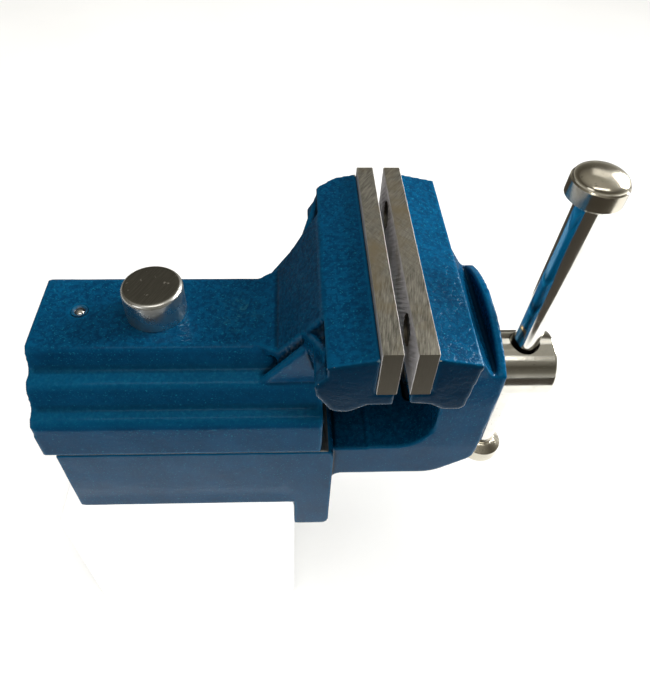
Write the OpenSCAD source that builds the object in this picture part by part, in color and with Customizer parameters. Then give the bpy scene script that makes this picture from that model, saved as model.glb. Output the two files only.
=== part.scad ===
// Bench vise with a rear-opening jaw.
// The base, its neck, the front arm and the front jaw are one casting, which hooks over the
// bench's edge. The rear jaw is part of a carriage that slides along the bed. The spindle turns
// in the front arm and draws the carriage along by a nut inside it.
// Origin: centre of the bench seat. +X points to the handle, +Z up.

/* [Jaws] */
// Width of both jaws and of their plates
jaw_width = 100; // [96:1:104]
// Gap between the plates as the vise stands
jaw_gap = 4.3; // [4.2:0.1:4.5]
// Middle of that gap along the vise
jaw_mid_x = 82.1; // [82:0.1:82.2]
// Height of the plates' upper edge
plate_top = 116; // [115:0.5:117]
// Height of a plate
plate_h = 20; // [19.5:0.1:20]
// Thickness of a plate
plate_t = 6.7; // [6.5:0.1:7]
// Distance from the middle to a plate screw
plate_screw_y = 31; // [26:1:33]

/* [Bed] */
// Half the width of the bed box
bed_half = 38.6; // [38.5:0.1:39]
// Height of the machined bed
bed_z = 41.85; // [41.8:0.05:41.85]
// Half the length of the bench seat
seat_half = 47; // [46:0.5:47]
// Front end of the bed
bed_front = 61.2; // [61:0.1:61.5]
// Depth of the lip below the seat
lip_drop = 21.6; // [15:0.5:30]
// Front face of the lip
lip_front = 63; // [62.8:0.1:63.2]

/* [Neck and arm] */
// Half the width of the neck and of the arm's foot
arm_half = 33.4; // [33:0.1:34]
// Half the width of the arm at its rim, towards which its sides draw in
arm_top_half = 31; // [30.5:0.1:32]
// Underside of the neck
neck_low = 15.6; // [15:0.1:17]
// Top of the neck, which is the throat's floor
throat_z = 36.8; // [36:0.1:37]
// Face of the arm towards the throat
arm_back = 103.2; // [103:0.1:103.4]
// Front face of the arm
arm_front = 125.3; // [125:0.1:125.6]
// Front face of the boss around the spindle
boss_front = 129.5; // [129:0.1:130]
// Radius of that boss
boss_r = 24.2; // [22:0.2:25]

/* [Carriage] */
// Rear end of the carriage
tail_end = -51.8; // [-52:0.1:-51.4]
// Front face of the pillar below the rear jaw
pillar_front = 58; // [57.5:0.1:58]
// Height of the tail's flat top
tail_top = 84.35; // [84:0.05:85]
// Half the width of the carriage where it meets the bed
tail_half = 38.5; // [38.3:0.1:38.6]

/* [Spindle] */
// Height of the spindle's axis
axis_z = 50.75; // [50.5:0.05:51]
// Radius of the spindle's head
head_r = 14.05; // [13.8:0.05:14.2]
// Outer end of the head
head_end = 156.8; // [155:0.1:158]
// Radius of the threaded part
screw_r = 9; // [8.8:0.1:9]
// Inner end of the threaded part
screw_end = -38; // [-38:1:-36]
// Radius of the journal that turns in the bush
journal_r = 11; // [10.5:0.1:11.2]

/* [Handle] */
// Distance of the bar from the seat's centre
bar_x = 144; // [143.5:0.1:144.5]
// Radius of the bar
bar_r = 5.2; // [5:0.1:5.4]
// Radius of the cross hole, in which the bar slides loosely
bar_hole_r = 6.4; // [6.2:0.1:6.5]
// Angle at which the loose bar rests in its hole
bar_lean = 1.9; // [0:0.1:2]
// Length of the bar above the spindle's axis, without its knob
bar_up = 84.1; // [80:0.1:86]
// Length of the bar below the spindle's axis, without its knob
bar_down = 58; // [55:0.1:61]
// Radius of a knob
knob_r = 9.8; // [9.5:0.1:10]
// Height of a knob's straight side
knob_side = 6; // [5:0.1:7]
// Height of a knob's dome
knob_dome = 4.5; // [4:0.1:5.5]

/* [Tail top] */
// Radius of the round anvil
anvil_r = 11.6; // [10:0.1:12]
// Height of the anvil above the tail
anvil_h = 13.4; // [12:0.1:15]
// Place of the anvil along the tail
anvil_x = -5.9; // [-8:0.1:-4]
// Place of the ball oiler along the tail
oiler_x = -35.5; // [-37:0.1:-34]

/* [Hidden] */

paint = "steelblue";
ground_steel = "darkgray";
plating = "silver";
bronze = "peru";
dark_steel = "dimgray";

$fn = 96;
ARC = 6;            // steps in a rounded corner
RUN = 0.05;         // radial clearance of a running fit
EPS = 1;            // how far a cutter passes a face

rear_face = jaw_mid_x - jaw_gap / 2;    // gripping face of the rear plate
front_face = jaw_mid_x + jaw_gap / 2;   // gripping face of the front plate
rear_seat = rear_face - plate_t;        // where the rear plate rests on its casting
front_seat = front_face + plate_t;
plate_low = plate_top - plate_h;
jaw_back = 56.6;                        // rear edge of the rear jaw's top
shoulder = 2.8;                         // plates stand this far above the castings
ledge_back = 0.5;                       // ledges stop this far behind the gripping faces
plate_screw_z = plate_low + 0.52 * plate_h;
plate_hole_r = 3.1;
plate_head_r = 5.6;
head_sink = 1.2;
cone_h = plate_head_r - plate_hole_r;
screw_depth = 18;

slide_gap = 0.05;
carriage_low = bed_z + slide_gap;
deck_t = 8;
deck_low = bed_z - deck_t;
slot_half = 14.3;
stem_half = 14.2;
stem_back = 34;
stem_front = 50;
stem_low = deck_low - 0.1;
cave_back = -41;
cave_front = 56.5;
cave_half = 30;
keeper_t = 6;
keeper_half = 24;
keeper_screw_y = 9;
keeper_screw_r = 3;
rim_low = 79.5;                         // where the arm's side meets its rim
keeper_grip = 4.9;                      // how far the keeper's screws enter the stem
boss_top = 20;                          // height of the tapped corner bosses
fix_x = 33;
fix_y = 26;
tap_r = 3.4;

nut_r = 13;
nut_back = 12;
nut_front = 52;
flange_half = 20;
flange_low = 42.3;
flange_high = 60;
flange_t = 6;
nut_screw_y = 15.8;
nut_screw_r = 2.5;
nut_cap_r = 4;
nut_cap_h = 4;
tail_cave_top = 70;
tail_cave_half = 21;
tail_wall = 7.3;

bush_r = 14;
washer_r = 14.8;
washer_t = 1.85;
washer_seat = boss_front - 2;
head_back = boss_front;
collar_r = 15.5;
collar_back = 96;
collar_front = arm_back - 0.2;
pin_r = 2.5;
knob_socket = 7;                        // how far the bar enters a knob

anvil_shank_r = 8;
anvil_shank_h = 12;
oiler_r = 3.1;
oiler_h = 7.2;
oiler_top = tail_top + 0.1;
ball_r = 2.1;
ball_z = oiler_top - 2.15;
ball_bore_r = ball_r + RUN;
spring_low = oiler_top - oiler_h + 0.8;
oil_hole_r = 1.2;

// ---- outlines -------------------------------------------------------------------------------
function unit(v) = v / norm(v);

// Arc that rounds the corner at p between its neighbours a and b
function corner(a, p, b, r) =
    let (u = unit(a - p), w = unit(b - p))
    let (half = acos(u * w) / 2)
    let (centre = p + unit(u + w) * r / sin(half))
    let (first = p + u * r / tan(half) - centre)
    let (start = atan2(first[1], first[0]))
    let (sweep = sign(cross(w, u)) * (180 - 2 * half))
    [for (i = [0:ARC]) let (t = start + sweep * i / ARC) centre + r * [cos(t), sin(t)]];

function flat(p) = [p[0], p[1]];

// Outline from points [x, y, radius of the corner]
function rounded(list) =
    let (n = len(list))
    [for (i = [0:n - 1]) each list[i][2] == 0
        ? [flat(list[i])]
        : corner(flat(list[(i + n - 1) % n]), flat(list[i]), flat(list[(i + 1) % n]), list[i][2])];

// Half an outline, from low to high, with its mirror image
function both_halves(half) = concat(half,
    [for (i = [len(half) - 1:-1:0]) [-half[i][0], half[i][1], half[i][2]]]);

// ---- shared shapes --------------------------------------------------------------------------
// Extrudes an outline in X and Z across the vise
module across(outline, half) {
    translate([0, half, 0]) rotate([90, 0, 0])
        linear_extrude(2 * half) polygon(rounded(outline));
}

// Extrudes an outline in Y and Z along the vise
module along(outline, from, to) {
    translate([from, 0, 0]) rotate([90, 0, 90])
        linear_extrude(to - from) polygon(rounded(outline));
}

module box(low, high) {
    translate(low) cube(high - low);
}

// Cylinder along +X
module rod_x(r, from, to, y = 0, z = axis_z) {
    translate([from, y, z]) rotate([0, 90, 0]) cylinder(r = r, h = to - from);
}

// Both plate screws' places on one side; dir is +1 where the gripping face looks to -X
module at_plate_screws(face, dir) {
    for (y = [-plate_screw_y, plate_screw_y])
        translate([face, y, plate_screw_z]) rotate([0, dir * 90, 0]) children();
}

module jaw_plate(seat, face, dir) {
    low_x = min(seat, face);
    difference() {
        box([low_x, -jaw_width / 2, plate_low], [low_x + plate_t, jaw_width / 2, plate_top]);
        at_plate_screws(face, dir) {
            translate([0, 0, -EPS]) cylinder(r = plate_head_r, h = head_sink + EPS);
            translate([0, 0, head_sink]) cylinder(r1 = plate_head_r, r2 = plate_hole_r, h = cone_h);
            cylinder(r = plate_hole_r, h = plate_t + EPS);
        }
    }
}

// Countersunk screws with a hexagon socket
module plate_screws(face, dir) {
    at_plate_screws(face, dir) difference() {
        union() {
            translate([0, 0, head_sink])
                cylinder(r1 = plate_head_r, r2 = plate_hole_r, h = cone_h);
            translate([0, 0, head_sink + cone_h])
                cylinder(r = plate_hole_r, h = screw_depth - head_sink - cone_h);
        }
        translate([0, 0, head_sink - EPS]) cylinder(r = 2.3, h = 2.2 + EPS, $fn = 6);
    }
}

module plate_screw_holes(face, dir) {
    at_plate_screws(face, dir) cylinder(r = plate_hole_r, h = screw_depth);
}

// ---- base body ------------------------------------------------------------------------------
module front_jaw_head() {
    top = plate_top - shoulder;
    across([
        [front_face + ledge_back, plate_low, 0],
        [front_face + ledge_back, 90.6, 1],
        [92, 90, 4],
        [96.5, 86.9, 4],
        [103.6, 86.9, 3],
        [106, top - 3.2, 0.6],
        [front_seat, top, 0],
        [front_seat, plate_low, 0]], jaw_width / 2);
}

// Side view of the neck and the J-shaped arm
module arm_profile() {
    step_x = 77.8;
    foot_r = 5;
    across([
        [cave_front, neck_low - foot_r - EPS, 0],
        [lip_front, neck_low - foot_r - EPS, 0],
        [lip_front, neck_low, foot_r],
        [107, neck_low, 16],
        [123, 27.5, 7],
        [arm_front, rim_low, 1],
        [120.2, rim_low, 5],
        [105, 104, 0],
        [95, 100, 0],
        [arm_back, 90, 0],
        [arm_back, throat_z, 15],
        [step_x, throat_z, 0],
        [step_x, throat_z - 0.8, 0],
        [cave_front, throat_z - 0.8, 0]], arm_half);
}

// The arm's sides are upright along the neck and lean inwards above the throat's floor
module neck_and_arm() {
    intersection() {
        arm_profile();
        along(both_halves([
            [arm_half, 0, 0],
            [arm_half, throat_z, 0],
            [arm_top_half, rim_low, 0],
            [arm_top_half, plate_top, 0]]), cave_front - EPS, arm_front + EPS);
    }
}

// Arched front plate of the arm, whose upper edge stands up as a rim
module arm_rim() {
    rim_half = arm_top_half - 0.2;
    rim_apex = 88;
    rim_arc_r = 63.6;
    rim_t = 3.3;
    end_top = 81.2;
    intersection() {
        rod_x(rim_arc_r, arm_front - rim_t, arm_front, 0, rim_apex - rim_arc_r);
        along(both_halves([[rim_half, throat_z, 0], [rim_half, end_top, 3], [20, 100, 0]]),
            arm_front - rim_t - EPS, arm_front + EPS);
    }
}

module arm_boss() {
    rod_x(boss_r, arm_front - 4, boss_front);
    along([[boss_r, axis_z, 0], [boss_r, 73, 10], [-boss_r, 73, 10], [-boss_r, axis_z, 0]],
        arm_front - 4, boss_front);
}

// Web below each front jaw wing
module wing_web(side) {
    hull() {
        translate([93, side * 46, 89]) cube([10, 1, 4]);
        translate([96, side * 30, 68]) translate([8, 0, 0]) cube([4, 1, 24]);
    }
}

module base_box() {
    difference() {
        across([
            [-seat_half, 0, 1],
            [seat_half, 0, 0],
            [seat_half, -lip_drop, 2],
            [lip_front, -lip_drop, 3.5],
            [lip_front, bed_z - 4, 3],
            [bed_front, bed_z, 0],
            [-seat_half, bed_z, 0]], bed_half);
        box([cave_back, -cave_half, -EPS], [seat_half - 6, cave_half, deck_low]);
        box([seat_half - 7, -cave_half, boss_top + 0.5], [cave_front, cave_half, deck_low]);
        box([cave_back, -slot_half, deck_low - EPS], [cave_front, slot_half, bed_z + EPS]);
        // The nut passes over the rear wall when the jaw is wide open
        rod_x(nut_r + 0.5, -seat_half - EPS, cave_back + EPS);
    }
}

// Cross rib and tapped corner bosses under the bed
module base_ribs() {
    box([-5, -cave_half - EPS, 0], [5, cave_half + EPS, boss_top]);
    for (x = [-fix_x, fix_x], y = [-fix_y, fix_y])
        translate([x, y, 0]) cylinder(r = 8, h = boss_top);
}

module base_casting() {
    color(paint) difference() {
        union() {
            base_box();
            base_ribs();
            neck_and_arm();
            arm_rim();
            arm_boss();
            front_jaw_head();
            for (side = [-1, 1]) wing_web(side);
        }
        rod_x(screw_r + 1.5, cave_front - 2, lip_front + 3);
        rod_x(collar_r + 1, collar_back - 1, arm_back);
        rod_x(bush_r, arm_back - EPS, washer_seat + EPS);
        rod_x(washer_r, washer_seat, boss_front + EPS);
        plate_screw_holes(front_face, 1);
        for (x = [-fix_x, fix_x], y = [-fix_y, fix_y])
            translate([x, y, -EPS]) cylinder(r = tap_r, h = boss_top + 2 * EPS);
    }
}

module front_jaw_plate() {
    color(ground_steel) jaw_plate(front_seat, front_face, 1);
}

module front_jaw_screws() {
    color(dark_steel) plate_screws(front_face, 1);
}

module spindle_bush() {
    color(bronze) difference() {
        rod_x(bush_r, arm_back, washer_seat);
        rod_x(journal_r + RUN, arm_back - EPS, washer_seat + EPS);
    }
}

// ---- carriage body --------------------------------------------------------------------------
// Stepped cross-section of the tail
module tail_section() {
    along(both_halves([
        [tail_half, carriage_low, 0],
        [37.4, 61.9, 5],
        [31.3, 63.6, 2.8],
        [28.5, 74.1, 4.2],
        [21.5, 75.1, 2.8],
        [19.2, tail_top, 3.6]]), tail_end, pillar_front);
}

// Corner left off the far rear end of the rear jaw, as a slanting cut seen from above
module far_corner() {
    cut_x = 7.5;
    cut_y = 4.6;
    from = [jaw_back - 2 * cut_x, jaw_width / 2 - 3 * cut_y];
    to = [jaw_back + 2 * cut_x, jaw_width / 2 + cut_y];
    translate([0, 0, carriage_low]) linear_extrude(plate_top)
        polygon([from, to, [from[0], to[1]]]);
}

module rear_jaw_head() {
    top = plate_top - shoulder;
    difference() {
        across([
            [rear_seat, plate_low, 0],
            [rear_seat, top, 0],
            [jaw_back, top - 3.6, 0.6],
            [57, 104.8, 1.5],
            [53, 100.4, 2],
            [53.5, 95.5, 6],
            [59.3, 86.2, 4.5],
            [65, 86, 4],
            [71, 89.9, 4],
            [rear_face - ledge_back, 89.9, 1],
            [rear_face - ledge_back, plate_low, 0]], jaw_width / 2);
        far_corner();
    }
}

// Column between the tail and the rear jaw, which flares towards the jaw's wings
module rear_column() {
    top = 108.9;
    hull() {
        translate([40.6, -22.7, 76]) cube([18, 45.4, 9.4]);
        translate([56, -28, top - 3]) cube([8, 56, 3]);
    }
    hull() {
        translate([31.5, -17, tail_top - 3]) cube([2, 34, 3]);
        translate([40.6, -22.7, tail_top - 3]) cube([2, 45.4, 4.2]);
    }
    for (side = [-1, 1]) wing_flare(side);
}

// Slanting rib and its web between the tail's step and a wing
module wing_flare(side) {
    hull() {
        translate([33.8, side * 26, 70.8]) sphere(r = 1.8, $fn = 24);
        translate([54.5, side * 28.5, 98.5]) sphere(r = 1.8, $fn = 24);
        translate([57, side * 26, 74]) sphere(r = 1.8, $fn = 24);
        translate([48, side * 18, 74]) sphere(r = 1.8, $fn = 24);
    }
    hull() {
        translate([50.8, side * 23, 97]) sphere(r = 1.8, $fn = 24);
        translate([55, side * 32.5, 101.5]) sphere(r = 1.8, $fn = 24);
        translate([57.2, side * 41, 106.5]) sphere(r = 1.5, $fn = 24);
        translate([58, side * 42, 98]) cube([4, 4, 8], center = true);
        translate([58, side * 30, 84]) sphere(r = 3, $fn = 24);
    }
}

// Hollow inside the tail for the spindle, with the nut's bulkhead left in front of it
module tail_hollow() {
    box([tail_end + tail_wall, -tail_cave_half, carriage_low - EPS],
        [nut_back, tail_cave_half, tail_cave_top]);
}

module rear_jaw_casting() {
    color(paint) difference() {
        union() {
            tail_section();
            rear_column();
            rear_jaw_head();
            box([stem_back, -stem_half, stem_low], [stem_front, stem_half, carriage_low + EPS]);
        }
        tail_hollow();
        rod_x(nut_r, nut_back - EPS, nut_front);
        rod_x(screw_r + 1, nut_front - EPS, pillar_front + EPS);
        for (y = [-nut_screw_y, nut_screw_y])
            rod_x(nut_screw_r, nut_back - EPS, nut_back + 14, y);
        for (y = [-keeper_screw_y, keeper_screw_y])
            translate([(stem_back + stem_front) / 2, y, stem_low - EPS])
                cylinder(r = keeper_screw_r, h = keeper_grip + EPS);
        plate_screw_holes(rear_face, -1);
        translate([anvil_x, 0, tail_top - anvil_shank_h])
            cylinder(r = anvil_shank_r, h = anvil_shank_h + EPS);
        translate([oiler_x, 0, oiler_top - oiler_h]) cylinder(r = oiler_r, h = oiler_h + EPS);
        translate([oiler_x, 0, tail_cave_top - EPS])
            cylinder(r = oil_hole_r, h = oiler_top - oiler_h - tail_cave_top + 2 * EPS);
    }
}

module rear_jaw_plate() {
    color(ground_steel) jaw_plate(rear_seat, rear_face, -1);
}

module rear_jaw_screws() {
    color(dark_steel) plate_screws(rear_face, -1);
}

module anvil_stud() {
    edge = 1.8;
    top = anvil_h + anvil_shank_h;
    color(plating) translate([anvil_x, 0, tail_top - anvil_shank_h]) rotate_extrude()
        polygon(rounded([
            [0, 0, 0],
            [anvil_shank_r, 0, 0],
            [anvil_shank_r, anvil_shank_h, 0],
            [anvil_r, anvil_shank_h, 0],
            [anvil_r, top, edge],
            [0, top, 0]]));
}

module oiler_body() {
    lip_hole_r = 1.75;
    mouth_r = 2.65;
    floor_t = 0.8;
    low = oiler_top - oiler_h;
    lip_low = ball_z - low + sqrt(ball_r * ball_r - lip_hole_r * lip_hole_r);
    color(plating) translate([oiler_x, 0, low]) difference() {
        cylinder(r = oiler_r, h = oiler_h);
        translate([0, 0, floor_t]) cylinder(r = ball_bore_r, h = lip_low - floor_t);
        translate([0, 0, lip_low - EPS]) cylinder(r = lip_hole_r, h = 3 * EPS);
        translate([0, 0, lip_low + 0.3])
            cylinder(r1 = lip_hole_r, r2 = mouth_r, h = oiler_h - lip_low - 0.3);
        translate([0, 0, -EPS]) cylinder(r = oil_hole_r, h = 3 * EPS);
    }
}

module oiler_spring() {
    color(plating) translate([oiler_x, 0, spring_low]) difference() {
        cylinder(r = 1.9, h = ball_z - ball_r - spring_low);
        translate([0, 0, -EPS]) cylinder(r = 1.4, h = 6 * EPS);
    }
}

module oiler_ball() {
    color(plating) translate([oiler_x, 0, ball_z]) sphere(r = ball_r, $fn = 48);
}

module spindle_nut() {
    color(bronze) difference() {
        union() {
            rod_x(nut_r, nut_back - flange_t, nut_front);
            along([
                [flange_half, flange_low, 2],
                [flange_half, flange_high, 4],
                [-flange_half, flange_high, 4],
                [-flange_half, flange_low, 2]], nut_back - flange_t, nut_back);
        }
        rod_x(screw_r + RUN, nut_back - flange_t - EPS, nut_front + EPS);
        for (y = [-nut_screw_y, nut_screw_y])
            rod_x(nut_screw_r, nut_back - flange_t - EPS, nut_back + EPS, y);
    }
}

module nut_screws() {
    color(dark_steel) for (y = [-nut_screw_y, nut_screw_y]) difference() {
        union() {
            rod_x(nut_screw_r, nut_back - flange_t, nut_back + 12, y);
            rod_x(nut_cap_r, nut_back - flange_t - nut_cap_h, nut_back - flange_t, y);
        }
        translate([nut_back - flange_t - nut_cap_h - EPS, y, axis_z]) rotate([0, 90, 0])
            cylinder(r = 2, h = 2.5 + EPS, $fn = 6);
    }
}

module keeper_plate() {
    mid = (stem_back + stem_front) / 2;
    color(dark_steel) difference() {
        box([stem_back - 1, -keeper_half, stem_low - keeper_t],
            [stem_front + 1, keeper_half, stem_low]);
        for (y = [-keeper_screw_y, keeper_screw_y])
            translate([mid, y, stem_low - keeper_t - EPS])
                cylinder(r = keeper_screw_r, h = keeper_t + 2 * EPS);
    }
}

module keeper_screws() {
    mid = (stem_back + stem_front) / 2;
    cap_h = 5;
    low = stem_low - keeper_t - cap_h;
    color(dark_steel) for (y = [-keeper_screw_y, keeper_screw_y]) translate([mid, y, low])
        difference() {
            union() {
                cylinder(r = 5, h = cap_h);
                cylinder(r = keeper_screw_r, h = cap_h + keeper_t + keeper_grip);
            }
            translate([0, 0, -EPS]) cylinder(r = 2.6, h = 4, $fn = 6);
        }
}

// ---- spindle body ---------------------------------------------------------------------------
module spindle() {
    edge = 1.3;
    color(plating) difference() {
        union() {
            translate([0, 0, axis_z]) rotate([0, 90, 0]) rotate_extrude() polygon(rounded([
                [0, screw_end, 0],
                [screw_r - 2, screw_end, 0],
                [screw_r, screw_end + 2, 0],
                [screw_r, collar_back, 0],
                [journal_r, collar_back, 0],
                [journal_r, head_back, 0],
                [head_r, head_back, 0],
                [head_r, head_end, edge],
                [0, head_end, 0]]));
        }
        translate([bar_x, 0, axis_z - 2 * head_r]) cylinder(r = bar_hole_r, h = 4 * head_r);
        collar_pin_shape(pin_r);
    }
}

module collar_pin_shape(r) {
    translate([(collar_back + collar_front) / 2, -collar_r - EPS, axis_z])
        rotate([-90, 0, 0]) cylinder(r = r, h = 2 * (collar_r + EPS));
}

module thrust_washer() {
    color(bronze) difference() {
        rod_x(washer_r - 0.3, washer_seat + slide_gap, washer_seat + slide_gap + washer_t);
        rod_x(journal_r, washer_seat - EPS, boss_front);
    }
}

module retaining_collar() {
    color(dark_steel) difference() {
        rod_x(collar_r, collar_back, collar_front);
        rod_x(journal_r, collar_back - EPS, collar_front + EPS);
        collar_pin_shape(pin_r);
    }
}

module collar_pin() {
    color(dark_steel) translate([(collar_back + collar_front) / 2, -collar_r + 0.5, axis_z])
        rotate([-90, 0, 0]) cylinder(r = pin_r, h = 2 * (collar_r - 0.5));
}

// ---- handle body ----------------------------------------------------------------------------
// Places a child on the leaning bar, measured along it from the spindle's axis
module on_bar(up) {
    translate([bar_x, 0, axis_z]) rotate([0, bar_lean, 0]) translate([0, 0, up]) children();
}

module tommy_bar() {
    color(plating) on_bar(-bar_down - knob_socket)
        cylinder(r = bar_r, h = bar_up + bar_down + 2 * knob_socket);
}

// Knob whose domed end looks up; the bar enters it from below
module knob() {
    throat = 3;
    throat_r = bar_r + 0.7;
    edge = 0.5;
    rim = throat + knob_side;
    dome_r = knob_r - edge;
    difference() {
        rotate_extrude() polygon(concat(
            [[0, 0], [throat_r, 0], [knob_r, throat], [knob_r, rim]],
            [for (a = [0:6:90]) [dome_r * cos(a), rim + edge + (knob_dome - edge) * sin(a)]]));
        translate([0, 0, -EPS]) cylinder(r = bar_r, h = knob_socket + EPS);
    }
}

module upper_knob() {
    color(plating) on_bar(bar_up) knob();
}

module lower_knob() {
    color(plating) on_bar(-bar_down) mirror([0, 0, 1]) knob();
}

base_casting();
front_jaw_plate();
front_jaw_screws();
spindle_bush();
rear_jaw_casting();
rear_jaw_plate();
rear_jaw_screws();
anvil_stud();
oiler_body();
oiler_spring();
oiler_ball();
spindle_nut();
nut_screws();
keeper_plate();
keeper_screws();
spindle();
thrust_washer();
retaining_collar();
collar_pin();
tommy_bar();
upper_knob();
lower_knob();
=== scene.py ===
import math

import bmesh
import bpy
import numpy as np
from mathutils import Matrix, Vector, noise


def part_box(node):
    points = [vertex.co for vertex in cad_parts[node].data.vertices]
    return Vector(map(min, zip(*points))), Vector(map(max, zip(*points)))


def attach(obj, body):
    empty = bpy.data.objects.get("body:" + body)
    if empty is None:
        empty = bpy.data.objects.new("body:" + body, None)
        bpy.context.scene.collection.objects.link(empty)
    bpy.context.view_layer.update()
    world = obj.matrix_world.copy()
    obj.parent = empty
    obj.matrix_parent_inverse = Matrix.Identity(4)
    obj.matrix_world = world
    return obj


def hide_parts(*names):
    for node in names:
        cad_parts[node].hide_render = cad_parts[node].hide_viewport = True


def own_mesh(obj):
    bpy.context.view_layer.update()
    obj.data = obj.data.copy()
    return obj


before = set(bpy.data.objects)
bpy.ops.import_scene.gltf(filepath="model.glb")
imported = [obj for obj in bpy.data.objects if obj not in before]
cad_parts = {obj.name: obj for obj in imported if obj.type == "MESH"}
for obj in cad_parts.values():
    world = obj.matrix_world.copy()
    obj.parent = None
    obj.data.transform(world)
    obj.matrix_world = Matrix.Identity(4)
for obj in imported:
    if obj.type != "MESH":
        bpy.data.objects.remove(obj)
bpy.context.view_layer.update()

MM = 0.001

# Places in the frame
SPINDLE_LOW, SPINDLE_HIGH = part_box("spindle")
AXIS_Z = (SPINDLE_LOW.z + SPINDLE_HIGH.z) / 2
THREAD_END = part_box("retaining_collar")[0].x
BED_Z = 41.85 * MM       # machined top of the bed, just under the carriage
SEAT_FRONT = 47 * MM     # where the lip's rear face meets the bench
BAR_REACH = 144 * MM     # the floor stays out of the bar's sweep at every pose
PLATE_TOP_EDGE = 115.8 * MM  # above this the plates' gripping faces are dark and worn

# Sizes of detail that the CAD leaves plain
VOXEL = 0.7 * MM         # grain of the castings' remeshed skin
THREAD_CREST = 9 * MM    # radii and pitch of the spindle's thread
THREAD_ROOT = 6.6 * MM
THREAD_PITCH = 5 * MM
COIL_RADIUS = 1.6 * MM
COIL_WIRE = 0.22 * MM
COIL_TURNS = 3


# ---- mesh helpers ---------------------------------------------------------------------------
def new_object(name, bm):
    """Object made from a bmesh, which is freed."""
    mesh = bpy.data.meshes.new(name)
    bm.normal_update()
    bm.to_mesh(mesh)
    bm.free()
    obj = bpy.data.objects.new(name, mesh)
    bpy.context.scene.collection.objects.link(obj)
    return obj


def copy_of(node, name):
    """A free copy of a CAD node's mesh, with doubled vertices merged."""
    bm = bmesh.new()
    bm.from_mesh(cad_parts[node].data)
    bmesh.ops.remove_doubles(bm, verts=bm.verts, dist=0.0005 * MM)
    return new_object(name, bm)


def apply_modifiers(obj):
    """Turns the evaluated shape into the object's own mesh."""
    bpy.context.view_layer.update()
    graph = bpy.context.evaluated_depsgraph_get()
    mesh = bpy.data.meshes.new_from_object(obj.evaluated_get(graph))
    obj.modifiers.clear()
    old = obj.data
    obj.data = mesh
    bpy.data.meshes.remove(old)


def set_smooth(obj, angle=None):
    """Smooth shading, broken at edges that bend by more than angle degrees."""
    for polygon in obj.data.polygons:
        polygon.use_smooth = True
    if angle is not None:
        sharpen(obj.data, math.radians(angle))


def sharpen(mesh, angle):
    """Marks edges that bend by more than angle as sharp."""
    bm = bmesh.new()
    bm.from_mesh(mesh)
    for edge in bm.edges:
        if len(edge.link_faces) == 2:
            edge.smooth = edge.calc_face_angle(0) < angle
    bm.to_mesh(mesh)
    bm.free()


def flatten_shading(obj):
    """Lets large faces set the shading at their corners, so that they look flat."""
    weigh = obj.modifiers.new("weigh", "WEIGHTED_NORMAL")
    weigh.mode = "FACE_AREA"
    weigh.weight = 100
    weigh.keep_sharp = True
    apply_modifiers(obj)


def finish_piece(obj, body, slot, material, *nodes):
    """Gives a piece its material and body, and hides the CAD nodes that it stands for. The slot argument
    is not used.
    """
    obj.data.materials.clear()
    obj.data.materials.append(material)
    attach(obj, body)
    if nodes:
        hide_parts(*nodes)
    return obj


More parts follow.
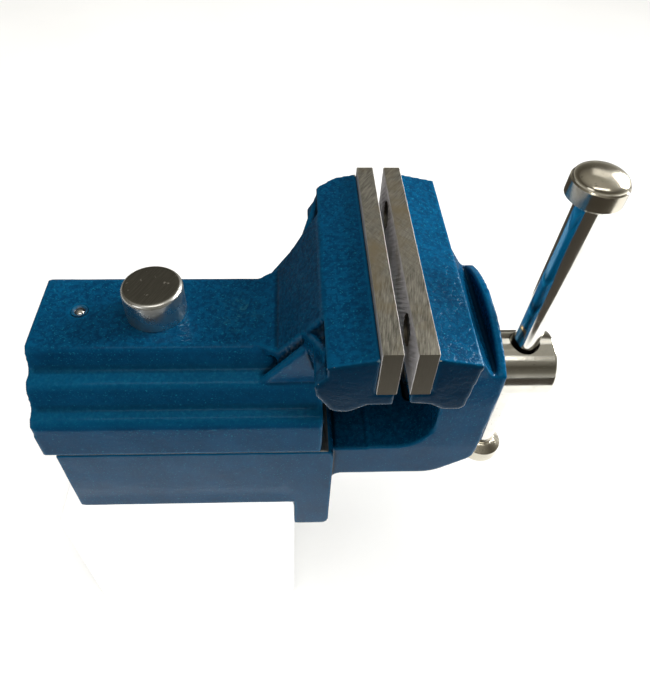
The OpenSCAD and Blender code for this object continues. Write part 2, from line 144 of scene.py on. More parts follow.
# ---- node helpers ---------------------------------------------------------------------------
class Shader:
    """Short names for building a material's nodes."""

    def __init__(self, name):
        self.material = bpy.data.materials.new(name)
        self.material.use_nodes = True
        self.tree = self.material.node_tree
        self.bsdf = self.tree.nodes["Principled BSDF"]

    def add(self, kind, **values):
        node = self.tree.nodes.new(kind)
        for key, value in values.items():
            setattr(node, key, value)
        return node

    def link(self, out, into):
        self.tree.links.new(out, into)

    def coords(self, scale=(1, 1, 1), turn=(0, 0, 0)):
        """Object coordinates, turned and then packed closer along each axis by its scale."""
        source = self.add("ShaderNodeTexCoord")
        mapping = self.add("ShaderNodeMapping", vector_type="TEXTURE")
        mapping.inputs["Scale"].default_value = [1 / factor for factor in scale]
        mapping.inputs["Rotation"].default_value = [math.radians(a) for a in turn]
        self.link(source.outputs["Object"], mapping.inputs["Vector"])
        return mapping.outputs["Vector"]

    def attribute(self, name):
        return self.add("ShaderNodeAttribute", attribute_name=name).outputs["Fac"]

    def axes(self):
        """Object X, Y and Z."""
        split = self.add("ShaderNodeSeparateXYZ")
        self.link(self.add("ShaderNodeTexCoord").outputs["Object"], split.inputs[0])
        return split.outputs

    def facing(self, axis):
        """How squarely a face looks along an axis, either way: 0 to 1."""
        split = self.add("ShaderNodeSeparateXYZ")
        self.link(self.add("ShaderNodeTexCoord").outputs["Normal"], split.inputs[0])
        return self.math("ABSOLUTE", split.outputs[axis], 0)

    def spot(self, place, inner, outer):
        """1 within inner of a place, fading to 0 at outer."""
        far = self.add("ShaderNodeVectorMath", operation="DISTANCE")
        self.link(self.add("ShaderNodeTexCoord").outputs["Object"], far.inputs[0])
        far.inputs[1].default_value = [c * MM for c in place]
        return self.map_range(far.outputs["Value"], inner * MM, outer * MM, 1.0, 0.0)

    def noise(self, vector, scale, detail=3.0, rough=0.55, distortion=0.0):
        node = self.add("ShaderNodeTexNoise")
        node.inputs["Scale"].default_value = scale
        node.inputs["Detail"].default_value = detail
        node.inputs["Roughness"].default_value = rough
        node.inputs["Distortion"].default_value = distortion
        self.link(vector, node.inputs["Vector"])
        return node.outputs["Fac"]

    def ramp(self, value, low, high, first=(0, 0, 0), last=(1, 1, 1)):
        node = self.add("ShaderNodeValToRGB")
        ends = node.color_ramp.elements
        ends[0].position, ends[1].position = low, high
        ends[0].color, ends[1].color = (*first, 1), (*last, 1)
        self.link(value, node.inputs["Fac"])
        return node.outputs["Color"]

    def math(self, operation, a, b):
        node = self.add("ShaderNodeMath", operation=operation)
        for socket, value in zip(node.inputs, (a, b)):
            if isinstance(value, (int, float)):
                socket.default_value = value
            else:
                self.link(value, socket)
        return node.outputs[0]

    def mix(self, factor, a, b):
        node = self.add("ShaderNodeMix", data_type="RGBA")
        for socket, value in zip((node.inputs[0], node.inputs[6], node.inputs[7]), (factor, a, b)):
            if isinstance(value, (int, float)):
                socket.default_value = value
            elif isinstance(value, tuple):
                socket.default_value = (*value, 1)
            else:
                self.link(value, socket)
        return node.outputs[2]

    def bump(self, height, distance, strength=1.0, below=None):
        node = self.add("ShaderNodeBump")
        node.inputs["Distance"].default_value = distance
        if isinstance(strength, float):
            node.inputs["Strength"].default_value = strength
        else:
            self.link(strength, node.inputs["Strength"])
        self.link(height, node.inputs["Height"])
        if below is not None:
            self.link(below, node.inputs["Normal"])
        return node.outputs["Normal"]

    def map_range(self, value, low, high, to_low, to_high):
        node = self.add("ShaderNodeMapRange")
        for key, number in zip(("From Min", "From Max", "To Min", "To Max"), (low, high, to_low, to_high)):
            node.inputs[key].default_value = number
        self.link(value, node.inputs["Value"])
        return node.outputs["Result"]

    def set(self, **values):
        names = {"color": "Base Color", "metal": "Metallic", "rough": "Roughness", "normal": "Normal",
                 "coat": "Coat Weight", "coat_rough": "Coat Roughness", "aniso": "Anisotropic",
                 "specular": "Specular IOR Level", "tint": "Specular Tint"}
        for key, value in values.items():
            socket = self.bsdf.inputs[names[key]]
            if isinstance(value, (int, float)):
                socket.default_value = value
            elif isinstance(value, tuple):
                socket.default_value = (*value, 1)
            else:
                self.link(value, socket)


# ---- materials ------------------------------------------------------------------------------
BLUE_LOW = (0.0006, 0.032, 0.086)
BLUE_HIGH = (0.0010, 0.045, 0.115)
BLUE_SHADE = tuple(0.2 * c for c in BLUE_LOW)
PRIMER = (0.42, 0.36, 0.20)
FILLER = (0.62, 0.60, 0.50)


def enamel(name, bare_z=None, knocks=(), scuff=None, step_light_below_z=None):
    """Glossy blue enamel over a rough casting, with pale edge lines of painted highlight and wear, chipped
    near the knocks.
    Flat faces at the height bare_z are machined iron; faces below the step height are painted paler as
    painted light, most where level. Convex crowns get a painted highlight; hollows and the jaws' end faces
    get painted shade."""
    s = Shader(name)
    place = s.coords()
    sideways = s.facing(1)
    peel = s.noise(place, 560, 2, 0.5, 0.6)
    fine = s.noise(place, 1500, 2)
    cast = s.noise(place, 130, 3, 0.5)
    blue = s.mix(s.ramp(s.noise(place, 55, 3), 0.35, 0.7), BLUE_LOW, BLUE_HIGH)
    # Hammered mottle: raised peel is painted paler and dimples darker, less on faces that look along Y.
    # This is the paint's own pattern and also painted shading of its relief.
    dimple = s.ramp(peel, 0.40, 0.62)
    depth = s.map_range(sideways, 0.4, 0.9, 1.0, 0.25)
    mottled = s.mix(dimple, s.mix(0.24, blue, (0, 0.006, 0.02)), s.mix(0.20, blue, (0.001, 0.10, 0.20)))
    blue = s.mix(depth, blue, mottled)
    # Fine pale specks: painted glints on the hammered finish.
    blue = s.mix(s.ramp(fine, 0.62, 0.76), blue, (0.008, 0.150, 0.235))
    rough = (0.19, 0.19, 0.19)
    if step_light_below_z is not None:
        # Painted light: faces low on the tail are made paler the more level they are, with a grain in the
        # paler tone.
        low = s.map_range(s.axes()[2], step_light_below_z - 0.5 * MM, step_light_below_z + 0.5 * MM, 0.8, 0.0)
        painted_step_light = s.math("MULTIPLY", low, s.map_range(s.facing(2), 0.15, 0.95, 0.0, 1.0))
        grain = s.ramp(s.noise(place, 620, 3, 0.6, 0.8), 0.45, 0.80)
        blue = s.mix(painted_step_light, blue, s.mix(grain, (0.001, 0.060, 0.135), (0.006, 0.105, 0.19)))
    if scuff is not None:
        haze = s.math("MULTIPLY", s.spot(*scuff), s.ramp(s.noise(place, 330, 4, 0.7, 1.2), 0.50, 0.74))
        blue = s.mix(haze, blue, (0.012, 0.092, 0.135))
        rough = s.mix(haze, rough, (0.5, 0.5, 0.5))
    # Painted highlight: convex crowns and edges are made paler blue.
    painted_crown_highlight = s.map_range(s.attribute("edge"), 0.02, 0.07, 0.0, 0.5)
    blue = s.mix(painted_crown_highlight, blue, (0.001, 0.075, 0.165))
    # Painted shade: the jaws' end faces that look along Y, beyond 49.2 mm from the middle, are darkened
    # toward BLUE_SHADE.
    ends = s.map_range(s.math("ABSOLUTE", s.axes()[1], 0), 49.2 * MM, 49.7 * MM, 0.0, 0.7)
    blue = s.mix(s.math("MULTIPLY", ends, sideways), blue, BLUE_SHADE)
    # Painted shade: hollows and creases are darkened toward BLUE_SHADE.
    painted_hollow_shade = s.map_range(s.attribute("edge"), -0.075, -0.015, 0.9, 0.0)
    blue = s.mix(painted_hollow_shade, blue, BLUE_SHADE)
    blue, rough, worn = edge_highlight_and_chips(s, place, blue, rough, knocks)
    normal = s.bump(cast, 0.5 * MM, s.map_range(sideways, 0.5, 0.9, 0.5, 0.22))
    normal = s.bump(peel, 0.32 * MM, s.map_range(sideways, 0.5, 0.9, 0.75, 0.22), normal)
    normal = s.bump(fine, 0.05 * MM, 0.5, normal)
    normal = s.bump(s.math("SUBTRACT", 1.0, worn), 0.08 * MM, 0.6, normal)
    s.set(color=blue, rough=rough, normal=normal, specular=0.10, tint=(0.3, 0.7, 1.0), coat=0.04,
          coat_rough=0.08)
    if bare_z is not None:
        bare = bare_mask(s, bare_z)
        iron, iron_rough = machined_iron(s)
        s.set(color=s.mix(bare, blue, iron), metal=bare, rough=s.mix(bare, rough, iron_rough))
    return s.material


def edge_highlight_and_chips(s, place, blue, rough, knocks):
    """Thin pale lines on edges, painted highlight and wear together, with chips down to primer and filler
    near the knocks.
    """
    edge = s.attribute("edge")
    grain = s.noise(place, 240, 4, 0.65)
    breaks = s.ramp(s.noise(place, 48, 2), 0.30, 0.52)
    shaky = s.math("ADD", edge, s.map_range(grain, 0.3, 0.7, -0.06, 0.06))
    # Pale line along convex edges: painted highlight as well as wear.
    line = s.math("MULTIPLY", s.map_range(shaky, 0.19, 0.26, 0.0, 0.7), breaks)
    blue = s.mix(line, blue, (0.20, 0.30, 0.33))
    worn = line
    if knocks:
        near = None
        for knock in knocks:
            one = s.spot(*knock)
            near = one if near is None else s.math("MAXIMUM", near, one)
        reach = s.math("ADD", edge, s.map_range(grain, 0.35, 0.65, -0.14, 0.10))
        chip = s.math("MULTIPLY", s.map_range(reach, 0.20, 0.235, 0.0, 1.0), near)
        bare = s.mix(s.ramp(s.noise(place, 900, 2), 0.40, 0.60), PRIMER, FILLER)
        blue = s.mix(chip, blue, bare)
        rough = s.mix(chip, rough, (0.6, 0.6, 0.6))
        worn = s.math("MAXIMUM", worn, chip)
    return blue, rough, worn


def bare_mask(s, height):
    """1 on level faces at that height, 0 elsewhere."""
    off = s.math("ABSOLUTE", s.math("SUBTRACT", s.axes()[2], height), 0)
    near = s.map_range(off, 0.25 * MM, 0.4 * MM, 1.0, 0.0)
    level = s.map_range(s.facing(2), 0.85, 0.95, 0.0, 1.0)
    return s.math("MULTIPLY", near, level)


def machined_iron(s):
    """Colour and roughness of the bed's milled top."""
    lines = s.noise(s.coords((40, 1, 1), (0, 0, 4)), 60, 3)
    tone = s.ramp(lines, 0.3, 0.7, (0.19, 0.17, 0.14), (0.34, 0.31, 0.26))
    rough = s.ramp(lines, 0.3, 0.7, (0.35, 0.35, 0.35), (0.55, 0.55, 0.55))
    return tone, rough


def ground_steel():
    """Surface-ground steel: wheel marks at three slants along the plate, and a little brown oil. Gripping
    faces get painted light and end faces a painted dark reflection.
    """
    s = Shader("ground_steel")
    place = s.coords()
    along = s.axes()[1]
    far = s.noise(s.coords((1, 9, 1), (0, 0, 57)), 230, 4, 0.62)
    near = s.noise(s.coords((1, 9, 1), (0, 0, 80)), 210, 4, 0.62)
    crossed = s.noise(s.coords((1, 10, 1), (0, 0, -52)), 240, 3, 0.6)
    marks = s.mix(s.map_range(along, -22 * MM, 4 * MM, 1.0, 0.0), far, near)
    marks = s.mix(s.math("MULTIPLY", s.spot((80, 6, 116), 14, 26), 0.55), marks, crossed)
    oil = s.ramp(s.noise(place, 75, 3), 0.50, 0.74)
    grey = s.ramp(marks, 0.36, 0.66, (0.11, 0.105, 0.088), (0.30, 0.285, 0.24))
    grey = s.mix(oil, grey, (0.20, 0.165, 0.105))
    # Painted light: the gripping faces are made pale and less metallic; the brown in them is oil.
    grip_painted_light = s.map_range(s.facing(0), 0.5, 0.8, 0.0, 1.0)
    # Painted dark reflection: the plate's end faces that look along Y are darkened.
    end = s.map_range(s.facing(1), 0.7, 0.9, 0.0, 1.0)
    grey = s.mix(grip_painted_light, grey, s.mix(oil, (0.62, 0.61, 0.63), (0.36, 0.33, 0.28)))
    grey = s.mix(end, grey, (0.10, 0.088, 0.066))
    edge = s.map_range(s.axes()[2], PLATE_TOP_EDGE - 0.05 * MM, PLATE_TOP_EDGE + 0.1 * MM, 0.25, 1.0)
    grey = s.mix(s.math("MULTIPLY", grip_painted_light, edge), grey, (0.22, 0.21, 0.19))
    rough = s.mix(grip_painted_light, s.ramp(marks, 0.2, 0.8, (0.34,) * 3, (0.52,) * 3), (0.42,) * 3)
    normal = s.bump(marks, 0.05 * MM, 0.8)
    s.set(color=grey, metal=s.mix(grip_painted_light, (0.85,) * 3, (0.25,) * 3), rough=rough, normal=normal)
    return s.material


def plated(name, tint, rough_low, rough_high, lines_along=None, lines=0.4):
    """Bright plating with smudges and fine scratches. lines_along is the axis it was turned round."""
    s = Shader(name)
    place = s.coords()
    smudge = s.noise(place, 120, 4, 0.6)
    scratch = s.noise(s.coords((1, 26, 3), (20, 10, 63)), 150, 3, 0.7)
    rough = s.ramp(smudge, 0.35, 0.75, (rough_low,) * 3, (rough_high,) * 3)
    tone = s.mix(s.ramp(smudge, 0.4, 0.8), tint, tuple(c * 0.84 for c in tint))
    pits = s.ramp(s.noise(place, 1300, 1), 0.70, 0.76)
    tone = s.mix(pits, tone, tuple(c * 0.45 for c in tint))
    normal = s.bump(scratch, 0.02 * MM, 0.30)
    if lines_along is not None:
        stretch = [0.6, 0.6, 0.6]
        stretch[lines_along] = 24
        turned = s.noise(s.coords(tuple(stretch)), 180, 3, 0.6)
        normal = s.bump(turned, 0.02 * MM, lines, normal)
    s.set(color=tone, metal=1.0, rough=rough, normal=normal)
    return s.material


def anvil_plating(top):
    """Satin face with fine straight streaks, its dark grey both worn satin and painted dark reflection,
    with brighter plating on the side below it.
    """
    s = Shader("anvil_plating")
    place = s.coords()
    streak = s.noise(s.coords((1, 30, 1), (0, 0, 62)), 150, 4, 0.65)
    blot = s.noise(place, 160, 3)
    face = s.map_range(s.axes()[2], top - 0.25 * MM, top - 0.05 * MM, 0.0, 1.0)
    # The face's dark grey is worn satin and also painted dark reflection.
    worn = s.mix(s.ramp(streak, 0.35, 0.7), (0.155, 0.15, 0.13), (0.24, 0.235, 0.205))
    worn = s.mix(s.ramp(s.noise(place, 520, 2), 0.68, 0.76), worn, (0.75, 0.73, 0.68))
    side = s.mix(s.ramp(blot, 0.4, 0.7), (0.76, 0.76, 0.73), (0.60, 0.60, 0.56))
    rough = s.mix(face, s.ramp(blot, 0.3, 0.7, (0.22,) * 3, (0.36,) * 3), (0.30,) * 3)
    normal = s.bump(streak, 0.03 * MM, 0.5)
    s.set(color=s.mix(face, side, worn), metal=1.0, rough=rough, normal=normal)
    return s.material


def painted_oiler(top):
    """Enamel on the oiler's rim, and painted shade inside its mouth: near black below the rim."""
    s = Shader("oiler_rim")
    place = s.coords()
    rim = s.map_range(s.axes()[2], top - 0.7 * MM, top - 0.3 * MM, 0.0, 1.0)
    blue = s.mix(s.ramp(s.noise(place, 400, 2), 0.35, 0.65), BLUE_LOW, (0.004, 0.075, 0.15))
    # Painted shade: the mouth below the rim is near black.
    s.set(color=s.mix(rim, (0.035, 0.028, 0.02), blue), metal=0.0, rough=0.3,
          normal=s.bump(s.noise(place, 900, 2), 0.1 * MM, 0.6), specular=0.36)
    return s.material


def plain_metal(name, first, last, rough_low, rough_high):
    """Metal with a fine grain between two tones."""
    s = Shader(name)
    place = s.coords()
    grain = s.noise(place, 400, 3)
    tone = s.ramp(grain, 0.3, 0.7, first, last)
    rough = s.ramp(s.noise(place, 160, 3), 0.3, 0.7, (rough_low,) * 3, (rough_high,) * 3)
    s.set(color=tone, metal=1.0, rough=rough, normal=s.bump(grain, 0.03 * MM, 0.5))
    return s.material


# ---- pieces ---------------------------------------------------------------------------------
def casting(node, name):
    """A casting's CAD shape with the soft edges and uneven skin that sand casting leaves."""
    obj = copy_of(node, name)
    remesh = obj.modifiers.new("remesh", "REMESH")
    remesh.mode = "VOXEL"
    remesh.voxel_size = VOXEL
    soften = obj.modifiers.new("soften", "SMOOTH")
    soften.factor = 0.5
    soften.iterations = 2
    apply_modifiers(obj)
    measure_edges(obj)
    uneven_skin(obj)
    set_smooth(obj)
    return obj


def measure_edges(obj):
    """Writes how far each point stands out of its neighbours as the attribute "edge"."""
    mesh = obj.data
    count = len(mesh.vertices)
    place = np.empty(count * 3)
    mesh.vertices.foreach_get("co", place)
    place = place.reshape(-1, 3)
    normal = np.empty(count * 3)
    mesh.vertices.foreach_get("normal", normal)
    normal = normal.reshape(-1, 3)
    ends = np.empty(len(mesh.edges) * 2, dtype=np.int32)
    mesh.edges.foreach_get("vertices", ends)
    a, b = ends.reshape(-1, 2).T
    step = place[b] - place[a]
    step /= np.linalg.norm(step, axis=1)[:, None] + 1e-12
    links = np.bincount(ends, minlength=count)
    bend = np.bincount(a, -(normal[a] * step).sum(axis=1), count)
    bend += np.bincount(b, (normal[b] * step).sum(axis=1), count)
    bend /= np.maximum(links, 1)
    for _ in range(2):
        spread = bend + np.bincount(a, bend[b], count) + np.bincount(b, bend[a], count)
        bend = spread / (links + 1)
    mesh.attributes.new("edge", "FLOAT", "POINT").data.foreach_set("value", bend)


def uneven_skin(obj):
    """Pushes painted skin in by up to 0.16 mm, and leaves the bed's machined top alone."""
    depth, size = 0.16 * MM, 70.0
    mesh = obj.data
    normals = [v.normal.copy() for v in mesh.vertices]
    for vertex, normal in zip(mesh.vertices, normals):
        if abs(normal.z) > 0.95 and abs(vertex.co.z - BED_Z) < 0.4 * MM:
            continue
        vertex.co -= normal * depth * (0.5 + 0.5 * noise.noise(vertex.co * size))


def serration(y, z):
    """Depth of the crossed grooves in a gripping face at y, z."""
    pitch = 1.7 * MM
    depth = 0.28 * MM
    flank = 1.1
    deepest = 0.0
    for along in ((y + z) / math.sqrt(2), (y - z) / math.sqrt(2)):
        off = abs((along / pitch) % 1.0 - 0.5) * pitch
        deepest = max(deepest, depth - off * flank)
    return max(0.0, deepest)


def jaw_plate(node, screws, name, grip_side):
    """Steel plate with a serrated gripping face; grip_side is +1 where that face looks to +X."""
    low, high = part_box(node)
    face = high.x if grip_side > 0 else low.x
    back = low.x if grip_side > 0 else high.x
    edge, step = 0.2 * MM, 0.4 * MM
    border = 1.1 * MM
    columns = round((high.y - low.y) / step)
    rows = round((high.z - low.z) / step)
    bm = bmesh.new()

    def place(i, j, inset, x):
        y = low.y + inset + (high.y - low.y - 2 * inset) * i / columns
        z = low.z + inset + (high.z - low.z - 2 * inset) * j / rows
        return bm.verts.new((x, y, z))

    grid = [[place(i, j, edge, face) for j in range(rows + 1)] for i in range(columns + 1)]
    for line in grid:
        for vertex in line:
            inside = min(vertex.co.y - low.y, high.y - vertex.co.y,
                         vertex.co.z - low.z, high.z - vertex.co.z)
            if inside > border:
                vertex.co.x -= grip_side * serration(vertex.co.y, vertex.co.z)
    for i in range(columns):
        for j in range(rows):
            bm.faces.new((grid[i][j], grid[i + 1][j], grid[i + 1][j + 1], grid[i][j + 1]))
    rim = ([(i, 0) for i in range(columns)] + [(columns, j) for j in range(rows)]
           + [(i, rows) for i in range(columns, 0, -1)] + [(0, j) for j in range(rows, 0, -1)])
    previous = [grid[i][j] for i, j in rim]
    for inset, x in ((0, face - grip_side * edge), (0, back + grip_side * edge), (edge, back)):
        loop = [place(i, j, inset, x) for i, j in rim]
        for k in range(len(rim)):
            m = (k + 1) % len(rim)
            bm.faces.new((previous[k], loop[k], loop[m], previous[m]))
        previous = loop
    bm.faces.new(previous)
    bmesh.ops.recalc_face_normals(bm, faces=bm.faces)
    obj = new_object(name, bm)
    drill_plate(obj, screws, face, grip_side)
    set_smooth(obj, 28)
    return obj


def drill_plate(obj, screws, face, grip_side):
    """Cuts the two countersunk holes."""
    low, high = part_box(screws)
    head = 5.65 * MM
    shank = 3.1 * MM
    sink = 1.2 * MM
    cone = 2.5 * MM
    through = 9 * MM
    z = (low.z + high.z) / 2
    offset = (high.y - low.y) / 2 - 5.6 * MM
    outline = [(-1 * MM, head), (sink, head), (sink + cone, shank), (through, shank)]
    for y in (-offset, offset):
        cutter = lathe("cutter", outline, 64)
        cutter.matrix_world = (Matrix.Translation((face, y, z))
                               @ Matrix.Rotation(-grip_side * math.pi / 2, 4, "Y"))
        cut = obj.modifiers.new("cut", "BOOLEAN")
        cut.operation = "DIFFERENCE"
        cut.solver = "EXACT"
        cut.object = cutter
        apply_modifiers(obj)
        bpy.data.objects.remove(cutter)


def lathe(name, outline, steps):
    """Closed solid turned round Z from (z, radius) points, with flat ends."""
    bm = bmesh.new()
    rings = []
    for z, radius in outline:
        rings.append([bm.verts.new((radius * math.cos(t), radius * math.sin(t), z))
                      for t in (2 * math.pi * k / steps for k in range(steps))])
    for a, b in zip(rings, rings[1:]):
        for k in range(steps):
            m = (k + 1) % steps
            bm.faces.new((a[k], a[m], b[m], b[k]))
    bm.faces.new(rings[0][::-1])
    bm.faces.new(rings[-1])
    bmesh.ops.recalc_face_normals(bm, faces=bm.faces)
    return new_object(name, bm)


def screw_thread(name, x_low, x_high, crest, root, pitch):
    """Right-hand trapezoidal thread along X, tapered at its low end and cut square at both."""
    steps = 40
    corners = ((0.0, root), (0.16, crest), (0.5, crest), (0.66, root))
    bm = bmesh.new()
    turns = math.ceil((x_high - x_low) / pitch) + 2
    rings = []
    for turn in range(-1, turns):
        for share, radius in corners:
            ring = []
            for k in range(steps):
                t = 2 * math.pi * k / steps
                x = x_low + pitch * (turn + share + k / steps)
                r = min(radius, max(root, root + (x - x_low)))
                ring.append(bm.verts.new((x, -r * math.sin(t), AXIS_Z + r * math.cos(t))))
            rings.append(ring)
    per_turn = len(corners)
    for n in range(len(rings) - 1):
        for k in range(steps - 1):
            bm.faces.new((rings[n][k], rings[n][k + 1], rings[n + 1][k + 1], rings[n + 1][k]))
        if n >= per_turn:
            m = n - per_turn
            bm.faces.new((rings[m][steps - 1], rings[n][0], rings[n + 1][0], rings[m + 1][steps - 1]))
    for x, direction in ((x_low, -1), (x_high, 1)):
        cut = bmesh.ops.bisect_plane(bm, geom=bm.verts[:] + bm.edges[:] + bm.faces[:],
                                     plane_co=(x, 0, 0), plane_no=(direction, 0, 0), clear_outer=True)
        edges = [e for e in cut["geom_cut"] if isinstance(e, bmesh.types.BMEdge)]
        bmesh.ops.contextual_create(bm, geom=edges)
    bmesh.ops.recalc_face_normals(bm, faces=bm.faces)
    obj = new_object(name, bm)
    set_smooth(obj, 30)
    return obj


def turned_part(node, name, keep_above_x):
    """The spindle's journal and head, without its threaded part."""
    obj = copy_of(node, name)
    bm = bmesh.new()
    bm.from_mesh(obj.data)
    cut = bmesh.ops.bisect_plane(bm, geom=bm.verts[:] + bm.edges[:] + bm.faces[:],
                                 plane_co=(keep_above_x, 0, 0), plane_no=(-1, 0, 0), clear_outer=True)
    edges = [e for e in cut["geom_cut"] if isinstance(e, bmesh.types.BMEdge)]
    bmesh.ops.contextual_create(bm, geom=edges)
    bm.to_mesh(obj.data)
    bm.free()
    set_smooth(obj, 30)
    flatten_shading(obj)
    return obj


def coil_spring(name, x, low, high, radius, wire, turns):
    """Compression spring standing along Z."""
    steps, sides = 24, 8
    bm = bmesh.new()
    rings = []
    count = int(turns * steps)
    for k in range(count + 1):
        t = 2 * math.pi * k / steps
        z = low + wire + (high - low - 2 * wire) * k / count
        centre = Vector((x + radius * math.cos(t), radius * math.sin(t), z))
        out = Vector((math.cos(t), math.sin(t), 0))
        rings.append([bm.verts.new(centre + wire * (math.cos(a) * out + Vector((0, 0, math.sin(a)))))
                      for a in (2 * math.pi * m / sides for m in range(sides))])
    for a, b in zip(rings, rings[1:]):
        for m in range(sides):
            n = (m + 1) % sides
            bm.faces.new((a[m], a[n], b[n], b[m]))
    bm.faces.new(rings[0][::-1])
    bm.faces.new(rings[-1])
    bmesh.ops.recalc_face_normals(bm, faces=bm.faces)
    obj = new_object(name, bm)
    set_smooth(obj)
    return obj


def edged(node, name, width, angle=35):
    """A CAD node's shape with its sharp edges broken."""
    obj = copy_of(node, name)
    bevel = obj.modifiers.new("edge", "BEVEL")
    bevel.width = width
    bevel.segments = 2
    bevel.limit_method = "ANGLE"
    bevel.angle_limit = math.radians(angle)
    apply_modifiers(obj)
    set_smooth(obj, 40)
    flatten_shading(obj)
    return obj


def edged_pieces(material, slot, body, width, *nodes):
    """Stands an edged copy in for each of the nodes."""
    for node in nodes:
        finish_piece(edged(node, node + "_piece", width), body, slot, material, node)


# ---- stage ----------------------------------------------------------------------------------
def stage_box(name, low, high, material):
    """A block of the stage between two corners."""
    bm = bmesh.new()
    bmesh.ops.create_cube(bm, size=1)
    size = Vector(high) - Vector(low)
    middle = (Vector(high) + Vector(low)) / 2
    for vertex in bm.verts:
        vertex.co = middle + Vector(a * b for a, b in zip(vertex.co, size))
    obj = new_object(name, bm)
    obj.data.materials.append(material)
    return obj


def plain_tone(name, tone):
    """A matt colour with a barely uneven tone."""
    s = Shader(name)
    colour = s.ramp(s.noise(s.coords(), 8, 2), 0.3, 0.7, tuple(0.97 * t for t in tone), tone)
    s.set(color=colour, rough=0.7, specular=0.2)
    return s.material


def dark_card(name, low, high, material):
    """Studio flag: seen only in reflections, and casting no shadow."""
    card = stage_box(name, low, high, material)
    card.visible_camera = False
    card.visible_shadow = False
    card.visible_diffuse = False
    return card


def softbox(name, place, target, size, power, tint=(1, 1, 1)):
    """Rectangular lamp at a place, turned to its target and hidden from the camera."""
    light = bpy.data.lights.new(name, "AREA")
    light.shape = "RECTANGLE"
    light.size, light.size_y = size
    light.energy = power
    light.color = tint
    obj = bpy.data.objects.new(name, light)
    obj.location = place
    obj.rotation_euler = (Vector(target) - Vector(place)).to_track_quat("-Z", "Y").to_euler()
    obj.visible_camera = False
    bpy.context.scene.collection.objects.link(obj)
    return obj


def aim(light, state, *pieces):
    """Keeps a lamp's light to some pieces, or off them."""
    group = bpy.data.collections.new(light.name + "_" + state.lower())
    light.light_linking.receiver_collection = group
    for piece in pieces:
        group.objects.link(piece)
    for entry in group.collection_objects:
        entry.light_linking.link_state = state


def room():
    """Pale to the camera; to everything else a dim warm room, darkest half way up."""
    world = bpy.data.worlds.new("room")
    world.use_nodes = True
    bpy.context.scene.world = world
    tree = world.node_tree
    source = tree.nodes.new("ShaderNodeTexCoord")
    split = tree.nodes.new("ShaderNodeSeparateXYZ")
    ramp = tree.nodes.new("ShaderNodeValToRGB")
    path = tree.nodes.new("ShaderNodeLightPath")
    pick = tree.nodes.new("ShaderNodeMix")
    pick.data_type = "RGBA"
    tree.links.new(source.outputs["Generated"], split.inputs[0])
    tree.links.new(split.outputs[2], ramp.inputs["Fac"])
    tree.links.new(path.outputs["Is Camera Ray"], pick.inputs[0])
    tree.links.new(ramp.outputs["Color"], pick.inputs[6])
    pick.inputs[7].default_value = (0.93, 0.93, 0.93, 1)
    tree.links.new(pick.outputs[2], tree.nodes["Background"].inputs["Color"])
    stops = ((0.0, 0.42, 0.41, 0.37), (0.16, 0.16, 0.15, 0.125), (0.50, 0.075, 0.067, 0.052),
             (1.0, 0.42, 0.40, 0.35))
    while len(ramp.color_ramp.elements) < len(stops):
        ramp.color_ramp.elements.new(0.5)
    for element, (position, *color) in zip(ramp.color_ramp.elements, stops):
        element.position = position
        element.color = (*color, 1)
    tree.nodes["Background"].inputs["Strength"].default_value = 1.0


def camera():
    """Looks down on the vise from in front of its near side."""
    pitch, yaw, roll = (math.radians(a) for a in (47.4, 3.16, -1.96))
    ahead = Vector((math.sin(yaw) * math.cos(pitch), math.cos(yaw) * math.cos(pitch), -math.sin(pitch)))
    right = Vector((math.cos(yaw), -math.sin(yaw), 0))
    down = ahead.cross(right)
    side = math.cos(roll) * right + math.sin(roll) * down
    up = -(-math.sin(roll) * right + math.cos(roll) * down)
    data = bpy.data.cameras.new("camera")
    data.lens = 31.88
    data.sensor_width = 36
    data.shift_x, data.shift_y = 0.0192, -0.0344
    data.clip_start = 0.01
    obj = bpy.data.objects.new("camera", data)
    turn = Matrix((side, up, -ahead)).transposed().to_4x4()
    obj.matrix_world = Matrix.Translation(Vector((45.0, -168.6, 258.4)) * MM) @ turn
    bpy.context.scene.collection.objects.link(obj)
    bpy.context.scene.camera = obj


def build_stage():
    """Floor, bench, reflected cards and the room, with the lamps."""
    bpy.context.scene.view_settings.view_transform = "Standard"
    white = plain_tone("pale_floor", (0.88, 0.88, 0.87))
    dark = plain_tone("dark_card", (0.035, 0.030, 0.024))
    floor_z = AXIS_Z - BAR_REACH
    floor = stage_box("floor", (-1.6, -1.6, floor_z - 0.02), (1.6, 1.6, floor_z), white)
    bench = stage_box("bench", (-0.056, -0.047, floor_z), (SEAT_FRONT, 0.047, 0), white)
    soften = bench.modifiers.new("soften", "BEVEL")
    soften.width = 0.004
    soften.segments = 4
    card_z = floor_z + 0.001
    dark_card("near_card", (-0.9, -1.2, card_z), (0.9, -0.176, card_z + 0.001), dark)
    dark_card("far_card", (-0.9, 0.22, card_z), (0.9, 1.4, card_z + 0.001), dark)
    light_floor(floor, bench, floor_z)
    light_vise(floor, bench)
    room()


def light_floor(floor, bench, floor_z):
    """Lamps that light only the stage."""
    lamp = softbox("floor_lamp", (0.05, 0.12, 1.5), (0.05, 0.12, 0), (1.8, 1.8), 38)
    lamp.visible_glossy = False
    aim(lamp, "INCLUDE", floor, bench)
    fill = softbox("floor_fill", (0.9, -0.9, 0.45), (0.09, 0, floor_z), (1.2, 0.6), 17)
    fill.visible_glossy = False
    aim(fill, "INCLUDE", floor, bench)
    bench_lamp = softbox("bench_lamp", (0.0, -1.1, 0.35), (0, 0, 0), (0.5, 0.5), 20)
    bench_lamp.visible_glossy = False
    aim(bench_lamp, "INCLUDE", bench)


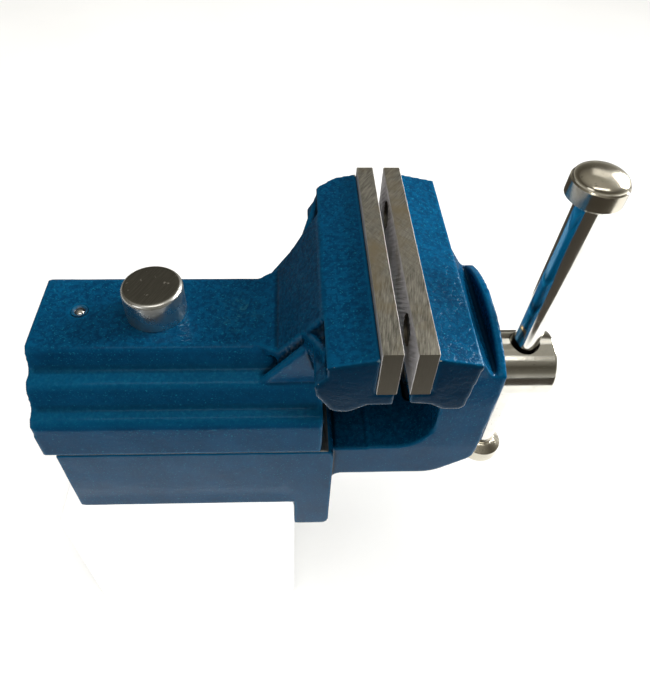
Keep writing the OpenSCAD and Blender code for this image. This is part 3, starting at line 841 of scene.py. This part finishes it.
def light_vise(floor, bench):
    """Lamps that light only the vise; two of them are kept out of its reflections."""
    front = softbox("front", (0.0, -0.9, 0.55), (0.05, 0, 0.06), (0.6, 0.6), 1.2)
    front.visible_glossy = False
    strip = softbox("strip", (0.08, -0.50, 1.00), (0.08, 0, 0.07), (0.9, 0.24), 2.0, (1, 0.98, 0.93))
    side = softbox("side", (-0.50, -0.50, 0.36), (-0.01, 0, 0.09), (0.35, 0.35), 0.6)
    window = softbox("window", (0.80, 0.30, 0.40), (0.04, 0, 0.08), (0.45, 0.45), 20, (1, 0.99, 0.96))
    panel = softbox("panel", (0.58, 0.75, 0.99), (0.14, 0, 0.065), (0.45, 0.45), 0.6, (1, 0.98, 0.94))
    top = softbox("top", (0.30, 0.10, 1.2), (0.05, 0, 0.08), (0.8, 0.8), 6.5)
    top.visible_glossy = False
    for lamp in (window, panel, top, front, strip, side):
        aim(lamp, "EXCLUDE", floor, bench)


# ---- the vise -------------------------------------------------------------------------------
def build_castings():
    """Both enamelled castings, knocked at the jaws' corners."""
    base_knocks = (((86, -50, 112), 9, 16), ((95, -50, 90), 2, 6))
    carriage_knocks = (((57, -50, 110), 8, 14), ((57, 30, 110), 14, 34), ((67, 47, 113), 3, 7))
    anvil_scuff = ((25, -1, 84.3), 3, 12)
    base_paint = enamel("blue_enamel_base", BED_Z, base_knocks)
    carriage_paint = enamel("blue_enamel_carriage", None, carriage_knocks, anvil_scuff, 80 * MM)
    finish_piece(casting("base_casting", "base_cast"), "base", "blue_enamel", base_paint,
                 "base_casting")
    finish_piece(casting("rear_jaw_casting", "carriage_cast"), "carriage", "blue_enamel",
                 carriage_paint, "rear_jaw_casting")


def build_jaw_plates():
    """Both ground plates, gripping faces towards each other."""
    steel = ground_steel()
    finish_piece(jaw_plate("front_jaw_plate", "front_jaw_screws", "front_plate", -1), "base",
                 "ground_steel", steel, "front_jaw_plate")
    finish_piece(jaw_plate("rear_jaw_plate", "rear_jaw_screws", "rear_plate", 1), "carriage",
                 "ground_steel", steel, "rear_jaw_plate")


def build_spindle(thread_steel):
    """The plated head and journal, and the thread behind them."""
    head_plating = plated("turned_plating", (0.74, 0.725, 0.66), 0.10, 0.22, 0)
    finish_piece(turned_part("spindle", "spindle_head", THREAD_END), "spindle", "bright_plating",
                 head_plating, "spindle")
    thread = screw_thread("spindle_thread", SPINDLE_LOW.x, THREAD_END, THREAD_CREST, THREAD_ROOT,
                          THREAD_PITCH)
    finish_piece(thread, "spindle", "dark_steel", thread_steel)


def build_oiler_spring(thread_steel):
    """The coil behind the oiler's ball, built once at its full length."""
    low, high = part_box("oiler_spring")
    x = (low.x + high.x) / 2
    coil = coil_spring("oiler_coil", x, low.z, high.z, COIL_RADIUS, COIL_WIRE, COIL_TURNS)
    finish_piece(coil, "carriage", "spring_steel", thread_steel, "oiler_spring")
    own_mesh(coil)


def build_plated_parts():
    """Anvil stud, ball oiler, tommy bar and its knobs."""
    slot = "bright_plating"
    bright = plated("bright_plating", (0.80, 0.785, 0.74), 0.06, 0.16)
    # Painted reflection: the knobs' plating is tinted darker and warmer than the bar's, for the warm room
    # seen in their domes.
    knob_plating_warm_reflection = plated("knob_plating", (0.66, 0.62, 0.52), 0.13, 0.26)
    anvil = anvil_plating(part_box("anvil_stud")[1].z)
    oiler = painted_oiler(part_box("oiler_body")[1].z)
    edged_pieces(anvil, slot, "carriage", 0.1 * MM, "anvil_stud")
    edged_pieces(oiler, slot, "carriage", 0.1 * MM, "oiler_body")
    edged_pieces(bright, slot, "oiler_ball", 0.05 * MM, "oiler_ball")
    edged_pieces(bright, slot, "handle", 0.25 * MM, "tommy_bar")
    edged_pieces(knob_plating_warm_reflection, slot, "handle", 0.25 * MM, "upper_knob", "lower_knob")


def build_inner_parts():
    """Screws, keeper, collar and bearings."""
    fine = 0.2 * MM
    steel = plain_metal("dark_steel", (0.10, 0.10, 0.105), (0.20, 0.20, 0.20), 0.3, 0.5)
    bronze = plain_metal("bronze", (0.42, 0.27, 0.12), (0.60, 0.40, 0.20), 0.25, 0.45)
    edged_pieces(steel, "dark_steel", "base", fine, "front_jaw_screws")
    edged_pieces(steel, "dark_steel", "carriage", fine, "rear_jaw_screws", "nut_screws",
                 "keeper_plate", "keeper_screws")
    edged_pieces(steel, "dark_steel", "spindle", fine, "retaining_collar", "collar_pin")
    edged_pieces(bronze, "bronze", "base", fine, "spindle_bush")
    edged_pieces(bronze, "bronze", "carriage", fine, "spindle_nut")
    edged_pieces(bronze, "bronze", "spindle", fine, "thrust_washer")


def build_vise():
    thread_steel = plain_metal("thread_steel", (0.30, 0.29, 0.27), (0.46, 0.45, 0.42), 0.25, 0.42)
    build_castings()
    build_jaw_plates()
    build_spindle(thread_steel)
    build_oiler_spring(thread_steel)
    build_plated_parts()
    build_inner_parts()


camera()
build_stage()
build_vise()
